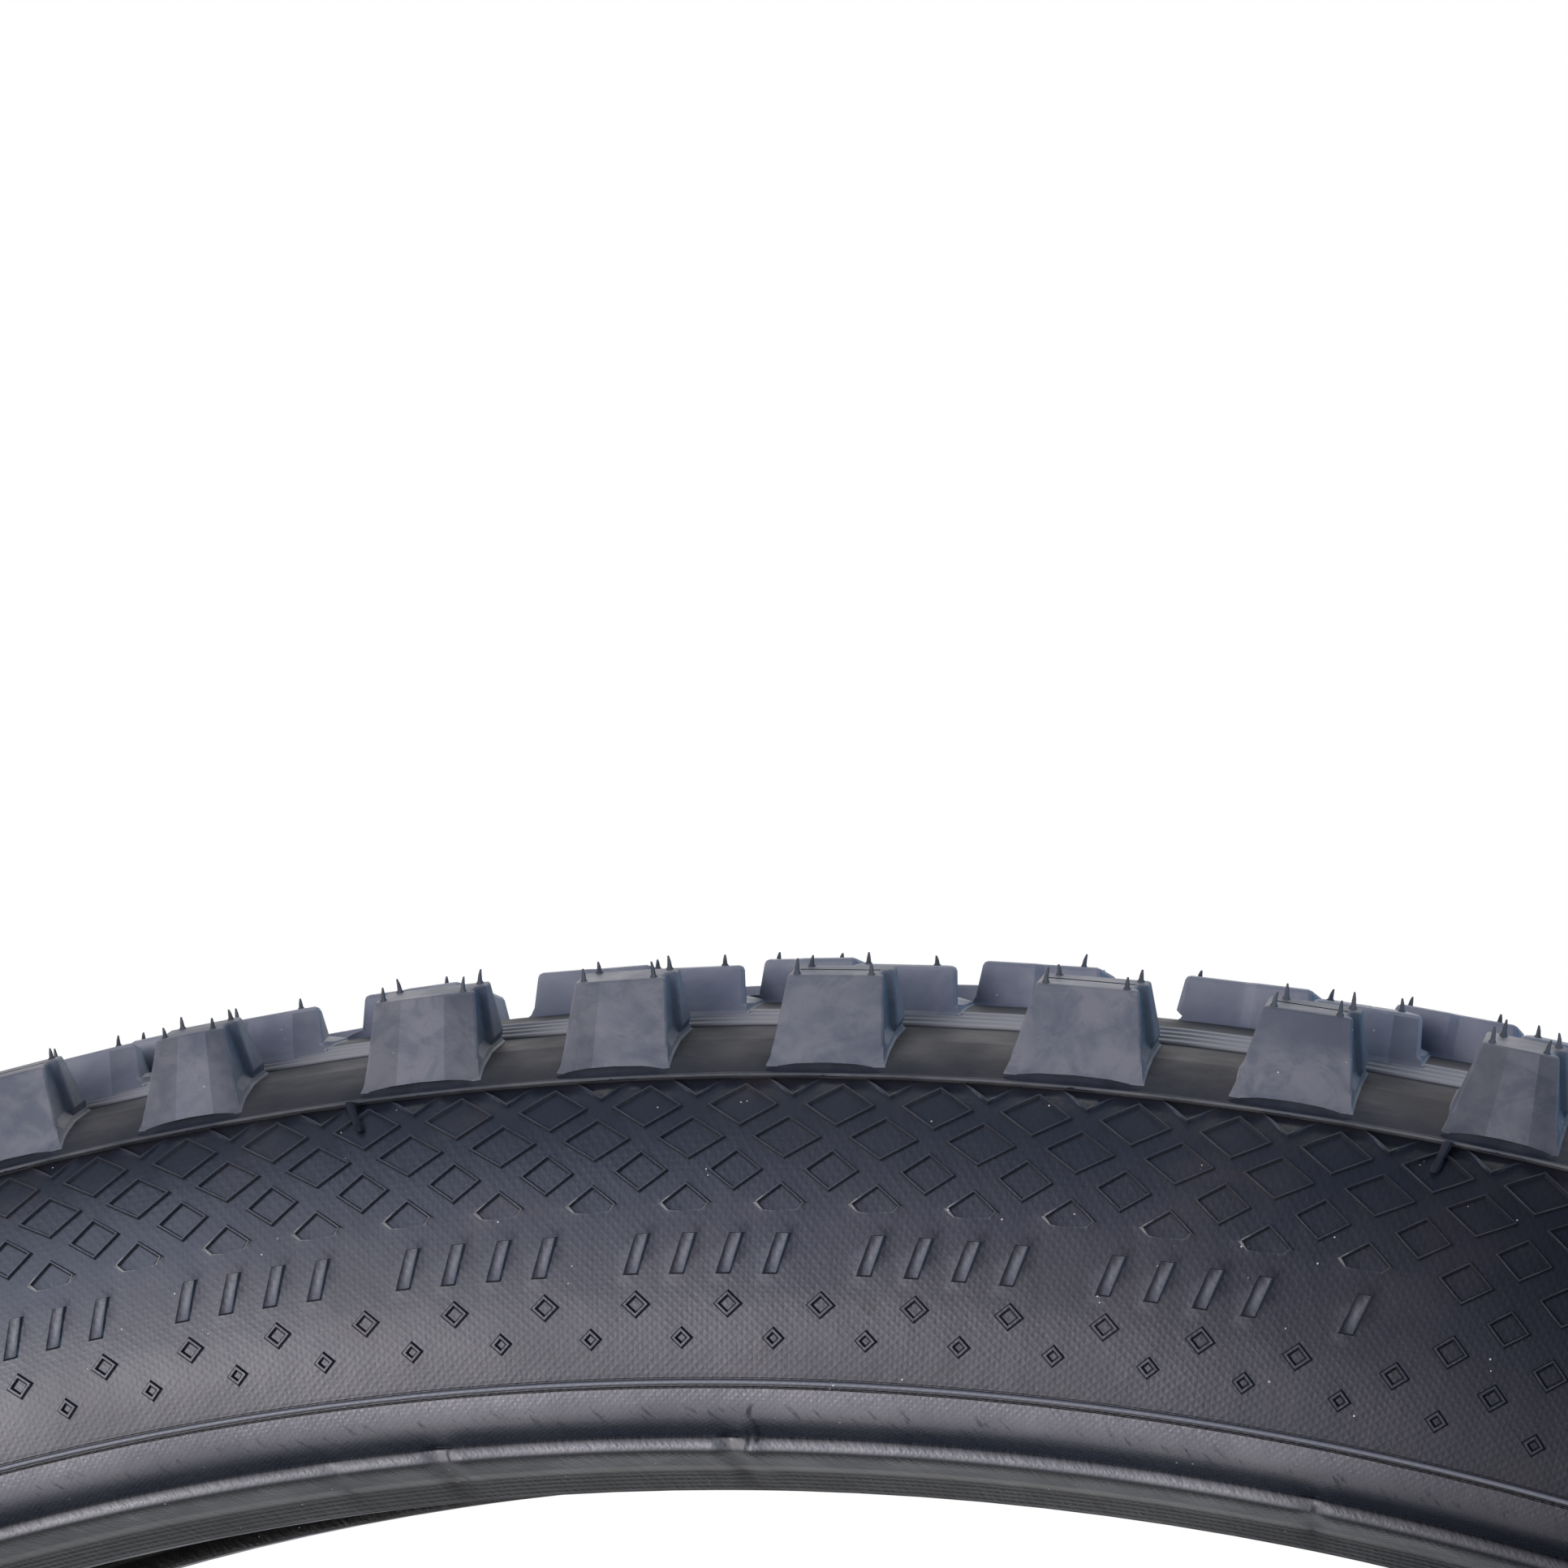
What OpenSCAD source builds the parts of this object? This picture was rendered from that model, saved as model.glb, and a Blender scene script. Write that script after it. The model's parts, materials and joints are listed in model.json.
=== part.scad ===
// Knobbly mountain-bike tire with folding beads, size 66-584 (27.5 x 2.6 inch), off its rim.
// Origin at the wheel's centre, axle along Y, +Z up. The right side of the tire is the -Y side.
// Every section is drawn as [radius from the axle, distance from the tire's mid plane].

/* [Bead] */
// Radius of the bead bore, half of the 584 mm bead seat diameter
bead_r = 292; // [279.5:0.5:311]
// Distance from the mid plane to the outer end of the bore
bore_outer_a = 24.5; // [24:0.1:25]
// Length of the cylindrical bore under each bead
bore_l = 4; // [3.5:0.1:4.5]
// Radius of the aramid cord bundle inside the bead
core_r = 1.6; // [1:0.05:1.6]

/* [Sidewall] */
// Half of the tire's width at its widest point
half_w = 39.45; // [39.2:0.05:39.7]
// Height of the widest point above the bead bore
widest_h = 15.5; // [15.2:0.1:15.8]
// Radius of curvature of the sidewall
side_r = 44; // [43.5:0.5:44.5]
// Radius of curvature where the sidewall turns into the crown
turn_r = 14; // [13.5:0.25:14.5]

/* [Crown] */
// Height of the casing's crown above the bead bore
crown_h = 46.8; // [46.6:0.1:47]
// Radius of curvature of the casing's crown
crown_r = 85; // [84:0.5:86]
// Distance from the mid plane to the edge of the undertread strip
undertread_a = 16; // [14:0.5:17]
// Thickness of the undertread strip at the mid plane
undertread_t = 1.2; // [0.8:0.1:1.4]
// Distance from the mid plane to the edge of the tread
tread_a = 32.5; // [32.4:0.05:32.6]

/* [Layers] */
// Thickness of the sidewall rubber, the chafer strip and the puncture belt
skin_t = 0.45; // [0.4:0.05:0.5]
// Thickness of one rubber-coated casing ply
ply_t = 0.35; // [0.3:0.05:0.35]
// Thickness of the airtight inner liner
liner_t = 0.25; // [0.2:0.05:0.3]

/* [Knobs] */
// Times the tread pattern repeats around the tire
repeats = 16; // [14:1:16]
// Angle from straight up to the first shoulder knob
first_knob = -9.5; // [-20:0.5:20]
// Height of the shoulder knobs' outer edge above the bead bore
shoulder_h = 50.3; // [49.5:0.1:51]
// Height of the transition knobs above the bead bore
transition_h = 53; // [52:0.1:54]
// Height of the centre knobs above the bead bore
centre_h = 54.4; // [53.5:0.1:55.5]
// Width of a transition knob's top
transition_w = 10; // [8:0.5:10.5]
// Width of a centre knob's top
centre_w = 12.2; // [10:0.2:12.4]
// Width that a knob gains on each flank between its top and its foot
draft = 0.6; // [0.2:0.1:0.8]

/* [Vents] */
// Length of a rubber whisker left by the mould's vents
whisker_l = 1.6; // [1:0.1:2.5]
// Radius of a whisker at its foot
whisker_r = 0.35; // [0.25:0.05:0.45]

/* [Hidden] */
$fn = 96;

wall_t = skin_t + 2 * ply_t + liner_t;
casing_top = bead_r + crown_h;

// Three tangent arcs make the casing's outline: crown, turn and sidewall.
crown_c = [casing_top - crown_r, 0];
side_c = [bead_r + widest_h, half_w - side_r];
turn_c = circles_meet(crown_c, crown_r - turn_r, side_c, side_r - turn_r);

// Angles on the arcs run from the radial direction towards the tire's side.
undertread_angle = asin(undertread_a / crown_r);
belt_angle = angle_to(crown_c, turn_c);
lip_angle = asin((tread_a - 0.2 - turn_c[1]) / turn_r);
side_angle = angle_to(side_c, turn_c);
rim_line_angle = 97.4;

// Meeting point of two circles that lies further from the mid plane
function circles_meet(p, rp, q, rq) =
    let (d = norm(q - p), u = (q - p) / d)
    let (x = (d * d + rp * rp - rq * rq) / (2 * d), y = sqrt(rp * rp - x * x))
    let (side = [-u[1], u[0]])
    p + x * u + y * sign(side[1]) * side;

function angle_to(p, q) = atan2(q[1] - p[1], q[0] - p[0]);

function on_arc(c, r, t) = c + r * [cos(t), sin(t)];

// A station is [outer point, inner point] of the wall. The last station of an arc starts the next arc.
function stations(c, r, t0, t1, n) =
    [for (i = [0:n - 1]) let (t = t0 + (t1 - t0) * i / n) [on_arc(c, r, t), on_arc(c, r - wall_t, t)]];

crown_mid = stations(crown_c, crown_r, 0, undertread_angle, 3);
crown_edge = stations(crown_c, crown_r, undertread_angle, belt_angle, 2);
turn_under = stations(turn_c, turn_r, belt_angle, lip_angle, 3);
turn_below = stations(turn_c, turn_r, lip_angle, side_angle, 2);
side_wall = stations(side_c, side_r, side_angle, rim_line_angle, 7);

// The bead, from the rim line over the heel and along the base to the bore
rim_line = [on_arc(side_c, side_r, rim_line_angle), on_arc(side_c, side_r - wall_t, rim_line_angle)];
hollow = [[bead_r + 5.6, 34.6], [bead_r + 8.6, 32.9]];
heel_top = [[bead_r + 4.8, 33], [bead_r + 7.9, 30.5]];
heel = [[bead_r + 3.9, 32], [bead_r + 7.2, 28.6]];
base = [[bead_r + 1.9, 28.2], [bead_r + 6.3, 26]];
bore_outer = [[bead_r, bore_outer_a], [bead_r + 4.9, bore_outer_a - 1.5]];
toe = [[bead_r, bore_outer_a - bore_l], [bead_r + 2.4, bore_outer_a - bore_l + 0.9]];
bead = [rim_line, hollow, heel_top, heel, base, bore_outer];

// Stations of each length of wall, from the mid plane outwards
under_tread = concat(crown_mid, crown_edge, [turn_under[0]]);
side_length = concat(turn_under, turn_below, side_wall, [rim_line]);
whole_wall = concat(crown_mid, crown_edge, turn_under, turn_below, side_wall, bead);

// Point of a station at a depth under its outer face, or over its inner face
function under(s, d) = s[0] + d * (s[1] - s[0]) / norm(s[1] - s[0]);
function over(s, d) = s[1] + d * (s[0] - s[1]) / norm(s[0] - s[1]);
function flip(points) = [for (i = [len(points) - 1:-1:0]) points[i]];
function mirrored(points) = [for (p = points) [p[0], -p[1]]];

// Layer between two lines of points that start on the mid plane, drawn across both sides of the tire
module band(outer, inner) {
    far_outer = mirrored([for (i = [1:len(outer) - 1]) outer[i]]);
    far_inner = mirrored([for (i = [1:len(inner) - 1]) inner[i]]);
    around() polygon(concat(outer, flip(inner), far_inner, flip(far_outer)));
}

// Turns a section around the axle. A section's positive distances become the right side, at -Y.
module around() {
    rotate([90, 0, 0]) rotate_extrude($fn = 180) children();
}

module on_left() {
    mirror([0, 1, 0]) children();
}

// ---- Tread ----

// Rubber surface between the knobs: a flat crown, a low step, a sloping shoulder and the edge lip
tread_surface = [
    [casing_top + 3, 0], [casing_top + 2.7, 6], [casing_top + 2.1, 10], [casing_top + 0.4, 15],
    [casing_top - 1.4, 20], [casing_top - 1.8, 20.3], [casing_top - 3.3, 26], [casing_top - 5.4, 30.5],
    [casing_top - 6.4, tread_a - 0.4], [casing_top - 6.9, tread_a],
];
undertread_edge_t = 0.3;
undertread_surface = [for (i = [0:len(crown_mid)]) let (
    part = i / len(crown_mid),
    t = undertread_angle * part,
    thick = undertread_t + (undertread_edge_t - undertread_t) * part)
    on_arc(crown_c, crown_r + thick, t)];
shoulder_line = [for (s = concat(crown_edge, turn_under, [turn_below[0]])) s[0]];

// Sections of the knobs, with their feet sunk into the tread's rubber
shoulder_section = [
    [bead_r + shoulder_h, 27.6], [bead_r + shoulder_h + 1.5, 23], [casing_top - 2.2, 21],
    [casing_top - 3.7, 26], [casing_top - 6.1, 31], [casing_top - 5.4, 30.9],
];
transition_section = [
    [bead_r + transition_h - 0.3, 15], [bead_r + transition_h + 0.3, 9.6], [casing_top + 1.8, 8.9],
    [casing_top + 1.4, 10], [casing_top - 0.2, 15], [casing_top - 1, 17.6], [casing_top - 0.5, 17.5],
];
centre_section = [
    [bead_r + centre_h, 0.7], [bead_r + centre_h - 0.3, 8], [casing_top + 1.8, 8.7],
    [casing_top + 2.4, 0], [casing_top + 1.8, -8.7], [bead_r + centre_h - 0.3, -8],
    [bead_r + centre_h, -0.7], [bead_r + centre_h - 2, 0],
];

// The six shoulder knobs of one repeat: share of a pitch that each is late, and widths of top and foot
knob_late = [0, 0.12, 0.03, 0.01, 0.13, 0.09];
shoulder_top_w = [7.4, 10.6, 9.4, 9.7, 10.2, 8.6];
shoulder_foot_w = [10.6, 12, 11, 11.4, 13.2, 11.4];
// Shoulder knobs that have a transition knob beside them
has_transition = [0, 2, 3, 5];
pitch = 360 / repeats / len(knob_late);
// Angles from a shoulder knob to its neighbours
transition_step = 0.2 * pitch;
centre_step = -0.35 * pitch;

function knob_angle(n, k) = first_knob + (n * len(knob_late) + k + knob_late[k]) * pitch;

// Block with the given section whose flanks lean in from the foot to the top
module knob(section, top_w, foot_w) {
    low = min([for (p = section) p[0]]);
    high = max([for (p = section) p[0]]);
    reach = 2 * max([for (p = section) abs(p[1])]) + 2;
    intersection() {
        rotate([90, 0, 90]) linear_extrude(foot_w + 1, center = true)
            polygon([for (p = section) [-p[1], p[0]]]);
        rotate([90, 0, 0]) linear_extrude(reach, center = true)
            polygon([[-foot_w / 2, low], [-top_w / 2, high], [top_w / 2, high], [foot_w / 2, low]]);
    }
}

module shoulder_knobs() {
    for (n = [0:repeats - 1], k = [0:len(knob_late) - 1])
        rotate([0, knob_angle(n, k), 0]) knob(shoulder_section, shoulder_top_w[k], shoulder_foot_w[k]);
}

module transition_knobs() {
    for (n = [0:repeats - 1], k = has_transition)
        rotate([0, knob_angle(n, k) + transition_step, 0])
            knob(transition_section, transition_w, transition_w + 2 * draft);
}

module centre_knobs() {
    for (n = [0:repeats - 1], k = [0:len(knob_late) - 1])
        rotate([0, knob_angle(n, k) + centre_step, 0])
            knob(centre_section, centre_w, centre_w + 2 * draft);
}

module tread() {
    color("dimgray") union() {
        band(tread_surface, concat(undertread_surface, shoulder_line));
        shoulder_knobs();
        transition_knobs();
        on_left() shoulder_knobs();
        on_left() transition_knobs();
        centre_knobs();
    }
}

module undertread() {
    color("slategray") band(undertread_surface, [for (s = concat(crown_mid, [crown_edge[0]])) s[0]]);
}

module puncture_belt() {
    color("khaki") band([for (s = under_tread) s[0]], [for (s = under_tread) under(s, skin_t)]);
}

// Hairs of rubber that stand on the knobs where the mould lets air out
module whisker() {
    cylinder(h = whisker_l, r1 = whisker_r, r2 = whisker_r / 3, $fn = 16);
}

module shoulder_whiskers() {
    rise = shoulder_section[1] - shoulder_section[0];
    foot = shoulder_section[0] + 0.25 * rise;
    for (n = [0:repeats - 1], k = [0:len(knob_late) - 1])
        rotate([0, knob_angle(n, k), 0])
            translate([shoulder_top_w[k] / 2 - 1.2, -foot[1], foot[0]])
                rotate([-atan2(rise[0], -rise[1]), 0, 0]) whisker();
}

module centre_whiskers() {
    fall = centre_section[1] - centre_section[0];
    foot = centre_section[0] + 0.8 * fall;
    for (n = [0:repeats - 1], k = [0:len(knob_late) - 1])
        rotate([0, knob_angle(n, k) + centre_step, 0])
            translate([centre_w / 2 - 1.5, -foot[1], foot[0]])
                rotate([-atan2(-fall[0], fall[1]), 0, 0]) whisker();
}

module vent_whiskers() {
    color("dimgray") {
        shoulder_whiskers();
        on_left() shoulder_whiskers();
        centre_whiskers();
    }
}

// ---- Sidewalls and casing ----

// Layer of the wall between two depths, on one side only
module side_band(list, from, to) {
    around() polygon(concat([for (s = list) under(s, from)], flip([for (s = list) under(s, to)])));
}

rib_h = 0.3;
rib_angle = 1.1;

// Sidewall rubber from the belt's edge to the rim line, with the moulded rim-line rib
module sidewall_right() {
    color("darkslategray") union() {
        side_band(side_length, 0, skin_t);
        around() polygon([
            on_arc(side_c, side_r - skin_t / 2, rim_line_angle - rib_angle),
            on_arc(side_c, side_r + rib_h, rim_line_angle - rib_angle),
            on_arc(side_c, side_r + rib_h, rim_line_angle - rib_angle / 3),
            on_arc(side_c, side_r - skin_t / 2, rim_line_angle - rib_angle / 3),
        ]);
    }
}

module sidewall_left() {
    on_left() sidewall_right();
}

module casing_outer_ply() {
    color("tan")
        band([for (s = whole_wall) under(s, skin_t)], [for (s = whole_wall) under(s, skin_t + ply_t)]);
}

module casing_inner_ply() {
    color("burlywood")
        band([for (s = whole_wall) over(s, liner_t + ply_t)], [for (s = whole_wall) over(s, liner_t)]);
}

module inner_liner() {
    color("black") band([for (s = whole_wall) over(s, liner_t)], [for (s = whole_wall) s[1]]);
}

// ---- Beads ----

filler_outer = [for (s = bead) under(s, skin_t + ply_t)];
filler_inner = [for (s = bead) over(s, liner_t + ply_t)];
core_c = (under(base, skin_t + ply_t) + over(base, liner_t + ply_t)) / 2;

// Soft rubber that fills the wedge between the plies, around the core
module bead_filler_right() {
    color("dimgray") around() difference() {
        polygon(concat(filler_outer, flip([for (i = [1:len(bead) - 1]) filler_inner[i]])));
        translate(core_c) circle(core_r);
    }
}

module bead_filler_left() {
    on_left() bead_filler_right();
}

// Folding bead: a bundle of aramid cord
module bead_core_right() {
    color("gold") around() translate(core_c) circle(core_r);
}

module bead_core_left() {
    on_left() bead_core_right();
}

// Rubberised fabric strip from the rim line around the heel and base, ending in the solid toe at the bore
module chafer_right() {
    color("gray") around() polygon(concat(
        [for (s = bead) s[0]], [toe[0], toe[1], bore_outer[1], under(bore_outer, skin_t)],
        flip([for (i = [0:len(bead) - 2]) under(bead[i], skin_t)])));
}

module chafer_left() {
    on_left() chafer_right();
}

tread();
undertread();
puncture_belt();
sidewall_right();
sidewall_left();
casing_outer_ply();
casing_inner_ply();
inner_liner();
bead_filler_right();
bead_filler_left();
bead_core_right();
bead_core_left();
chafer_right();
chafer_left();
vent_whiskers();
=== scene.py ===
import json
import math
import random

import bmesh
import bpy
import numpy as np
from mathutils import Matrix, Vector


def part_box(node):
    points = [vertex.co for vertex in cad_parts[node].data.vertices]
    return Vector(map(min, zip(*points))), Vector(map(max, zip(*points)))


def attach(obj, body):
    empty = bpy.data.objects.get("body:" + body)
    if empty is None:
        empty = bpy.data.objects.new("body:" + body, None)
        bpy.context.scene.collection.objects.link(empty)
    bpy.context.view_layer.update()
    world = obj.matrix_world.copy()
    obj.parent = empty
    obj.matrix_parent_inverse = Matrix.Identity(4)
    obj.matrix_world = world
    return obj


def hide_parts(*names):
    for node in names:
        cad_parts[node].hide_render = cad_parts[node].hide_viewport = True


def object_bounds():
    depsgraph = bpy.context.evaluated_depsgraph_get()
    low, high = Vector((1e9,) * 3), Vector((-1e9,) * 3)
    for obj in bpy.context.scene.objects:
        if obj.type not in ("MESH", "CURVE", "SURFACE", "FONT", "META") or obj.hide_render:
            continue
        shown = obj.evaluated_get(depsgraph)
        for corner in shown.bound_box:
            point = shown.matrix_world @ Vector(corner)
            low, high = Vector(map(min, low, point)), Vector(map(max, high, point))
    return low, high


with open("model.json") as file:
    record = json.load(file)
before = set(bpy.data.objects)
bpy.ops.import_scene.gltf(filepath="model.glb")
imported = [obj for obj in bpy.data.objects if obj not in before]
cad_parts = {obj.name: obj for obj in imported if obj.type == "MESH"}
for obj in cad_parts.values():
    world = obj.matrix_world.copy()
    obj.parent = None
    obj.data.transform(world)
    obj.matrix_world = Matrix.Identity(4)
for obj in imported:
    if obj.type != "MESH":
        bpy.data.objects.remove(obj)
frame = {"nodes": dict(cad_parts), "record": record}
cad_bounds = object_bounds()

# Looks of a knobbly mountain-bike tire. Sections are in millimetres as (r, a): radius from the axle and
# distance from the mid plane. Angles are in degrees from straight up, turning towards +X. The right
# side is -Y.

MM = 0.001
random.seed(7)

# ---- Casing outline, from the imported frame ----

SEAT = next(m for m in frame["record"]["mounts"] if m["name"] == "bead_seat_right")
BEAD_R = SEAT["dims"]["r_mm"]
BORE_L = SEAT["dims"]["length_mm"]
BORE_MID_A = -SEAT["pos_m"][1] / MM
HALF_W = -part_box("sidewall_right")[0].y / MM
TREAD_A = -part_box("tread")[0].y / MM
SKIN_T = 0.45
WALL_T = 1.4
LINER_T = 0.25
CASING_TOP = BEAD_R + 46.8
CROWN_RADIUS = 85.0
SIDE_RADIUS = 44.0
TURN_RADIUS = 14.0
CROWN_C = np.array([CASING_TOP - CROWN_RADIUS, 0.0])
SIDE_C = np.array([BEAD_R + 15.5, HALF_W - SIDE_RADIUS])
RIM_LINE_ANGLE = 97.4
OUTLINE_STEP = 0.2
LIP_A = TREAD_A - 0.25
LIP_R = CASING_TOP - 6.95


def circles_meet(p, rp, q, rq):
    """Meeting point of two circles that lies further from the mid plane."""
    d = np.linalg.norm(q - p)
    u = (q - p) / d
    x = (d * d + rp * rp - rq * rq) / (2 * d)
    side = np.array([-u[1], u[0]])
    return p + x * u + math.sqrt(rp * rp - x * x) * math.copysign(1, side[1]) * side


TURN_C = circles_meet(CROWN_C, CROWN_RADIUS - TURN_RADIUS, SIDE_C, SIDE_RADIUS - TURN_RADIUS)


def direction(p, q):
    return math.degrees(math.atan2(q[1] - p[1], q[0] - p[0]))


BELT_ANGLE = direction(CROWN_C, TURN_C)
SIDE_ANGLE = direction(SIDE_C, TURN_C)


def arc(centre, radius, start, end):
    """Points and outward normals along an arc, without its last point."""
    n = int(abs(end - start) * math.radians(radius) / OUTLINE_STEP)
    angles = np.radians(np.linspace(start, end, n, endpoint=False))
    normals = np.stack([np.cos(angles), np.sin(angles)], 1)
    return centre + radius * normals, normals


OUTLINE_PARTS = [
    arc(CROWN_C, CROWN_RADIUS, 0, BELT_ANGLE),
    arc(TURN_C, TURN_RADIUS, BELT_ANGLE, SIDE_ANGLE),
    arc(SIDE_C, SIDE_RADIUS, SIDE_ANGLE, RIM_LINE_ANGLE + 0.1),
]
OUTLINE, NORMALS = (np.concatenate(rows) for rows in zip(*OUTLINE_PARTS))


def on_outline(radius, height=0.0):
    """Point of the casing's outline at a radius from the axle, raised by a height along the normal."""
    place = [np.interp(-radius, -OUTLINE[:, 0], column) for column in (*OUTLINE.T, *NORMALS.T)]
    return place[0] + height * place[2], place[1] + height * place[3]


def over_bore(points):
    """Points given as height over the bead's bore and distance from the mid plane."""
    return [(BEAD_R + height, a) for height, a in points]


# The bead, from the rim line over the cheek and heel and along the base to the bore
RIM_LINE = SIDE_C + SIDE_RADIUS * np.array(
    [math.cos(math.radians(RIM_LINE_ANGLE)), math.sin(math.radians(RIM_LINE_ANGLE))])
BORE_OUTER_A = BORE_MID_A + BORE_L / 2
TOE_A = BORE_MID_A - BORE_L / 2
CHEEK = over_bore([(9.0, 39.0), (8.0, 38.7), (7.2, 38.0), (6.6, 36.5)])
HEEL = over_bore([(5.9, 34.9), (5.35, 34.15), (5.25, 34.2), (5.05, 34.8), (4.6, 35.0), (4.0, 34.95),
                  (3.5, 34.4), (3.0, 32.8), (1.9, 28.2)])
TOE_INNER = (BEAD_R + 4.9, BORE_OUTER_A - 1.5)
BEAD_INNER = over_bore([(8.6, 32.9), (7.9, 30.5), (7.2, 28.6), (6.3, 26.0)]) + [TOE_INNER]

# ---- Mesh helpers ----


def polar(angle, r, a):
    """Places (angle, r, a) in the row frame, in metres."""
    t = np.radians(np.asarray(angle, float))
    r, a = np.broadcast_arrays(np.asarray(r, float), np.asarray(a, float))
    return np.stack([r * np.sin(t), -a + 0 * t, r * np.cos(t)], -1) * MM


def smooth_line(points):
    """Rounds a line's corners by cutting them off twice, and keeps its two ends."""
    points = np.asarray(points, float)
    for _ in range(2):
        before, after = points[:-1], points[1:]
        cut = np.stack([0.75 * before + 0.25 * after, 0.25 * before + 0.75 * after], 1).reshape(-1, 2)
        points = np.concatenate([points[:1], cut[1:-1], points[-1:]])
    return points


def offset_line(points, depth):
    """Shifts a line of points sideways, to the left of its direction."""
    points = np.asarray(points, float)
    along = np.gradient(points, axis=0)
    along /= np.linalg.norm(along, axis=1)[:, None]
    return points + depth * np.stack([-along[:, 1], along[:, 0]], 1)


def new_mesh(name, verts, faces, materials, face_slots=None):
    mesh = bpy.data.meshes.new(name)
    mesh.from_pydata([tuple(v) for v in verts], [], [tuple(f) for f in faces])
    for material in materials:
        mesh.materials.append(material)
    if face_slots is not None:
        mesh.polygons.foreach_set("material_index", face_slots)
    return mesh


def new_piece(name, verts, faces, materials, sharp=35.0, face_slots=None):
    """Makes a mesh object with outward faces, smooth shading and sharp edges over an angle."""
    mesh = new_mesh(name, verts, faces, materials, face_slots)
    piece = bpy.data.objects.new(name, mesh)
    bpy.context.scene.collection.objects.link(piece)
    tidy_mesh(mesh, sharp)
    return piece


def tidy_mesh(mesh, sharp):
    bm = bmesh.new()
    bm.from_mesh(mesh)
    bmesh.ops.recalc_face_normals(bm, faces=bm.faces)
    bm.to_mesh(mesh)
    bm.free()
    mesh.shade_smooth()
    mesh.set_sharp_from_angle(angle=math.radians(sharp))


def stand_in(piece, node):
    """Puts a piece on the tire's one body, in the place of a CAD node."""
    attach(piece, "root")
    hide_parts(node)


def weigh_normals(piece):
    """Lets the large faces set the shading, so that narrow ridges don't tilt the flats beside them."""
    modifier = piece.modifiers.new("weighted_normals", "WEIGHTED_NORMAL")
    modifier.keep_sharp = True
    modifier.weight = 60


def even_angles(count):
    return np.arange(count) * 360 / count


def sweep(profile, angles, shift=None, side=1):
    """Vertices and faces of a closed (r, a) profile turned around the axle, one section to an angle."""
    profile = np.asarray(profile, float)
    count = len(profile)
    verts = []
    for angle in angles:
        section = profile if shift is None else profile + shift(angle, profile)
        verts.append(polar(angle, section[:, 0], side * section[:, 1]))
    faces = []
    for i in range(len(angles)):
        here, there = i * count, (i + 1) % len(angles) * count
        for j in range(count):
            k = (j + 1) % count
            faces.append((here + j, here + k, there + k, there + j))
    return np.concatenate(verts), faces


def in_fixed_order(mesh):
    """Copy of a mesh with sorted faces, because the boolean solver's order differs from run to run."""
    faces = []
    for face in mesh.polygons:
        corners = list(face.vertices)
        first = corners.index(min(corners))
        faces.append((corners[first:] + corners[:first], face.material_index))
    corners, slots = zip(*sorted(faces))
    return new_mesh(mesh.name, [v.co for v in mesh.vertices], corners, mesh.materials, slots)


def combine(piece, other, operation):
    """Joins or cuts two closed meshes, and keeps the result in piece."""
    modifier = piece.modifiers.new("combine", "BOOLEAN")
    modifier.operation = operation
    modifier.solver = "MANIFOLD"
    modifier.object = other
    graph = bpy.context.evaluated_depsgraph_get()
    mesh = bpy.data.meshes.new_from_object(piece.evaluated_get(graph), depsgraph=graph)
    piece.modifiers.clear()
    piece.data = mesh
    bpy.data.objects.remove(other)


# ---- Materials ----


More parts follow.
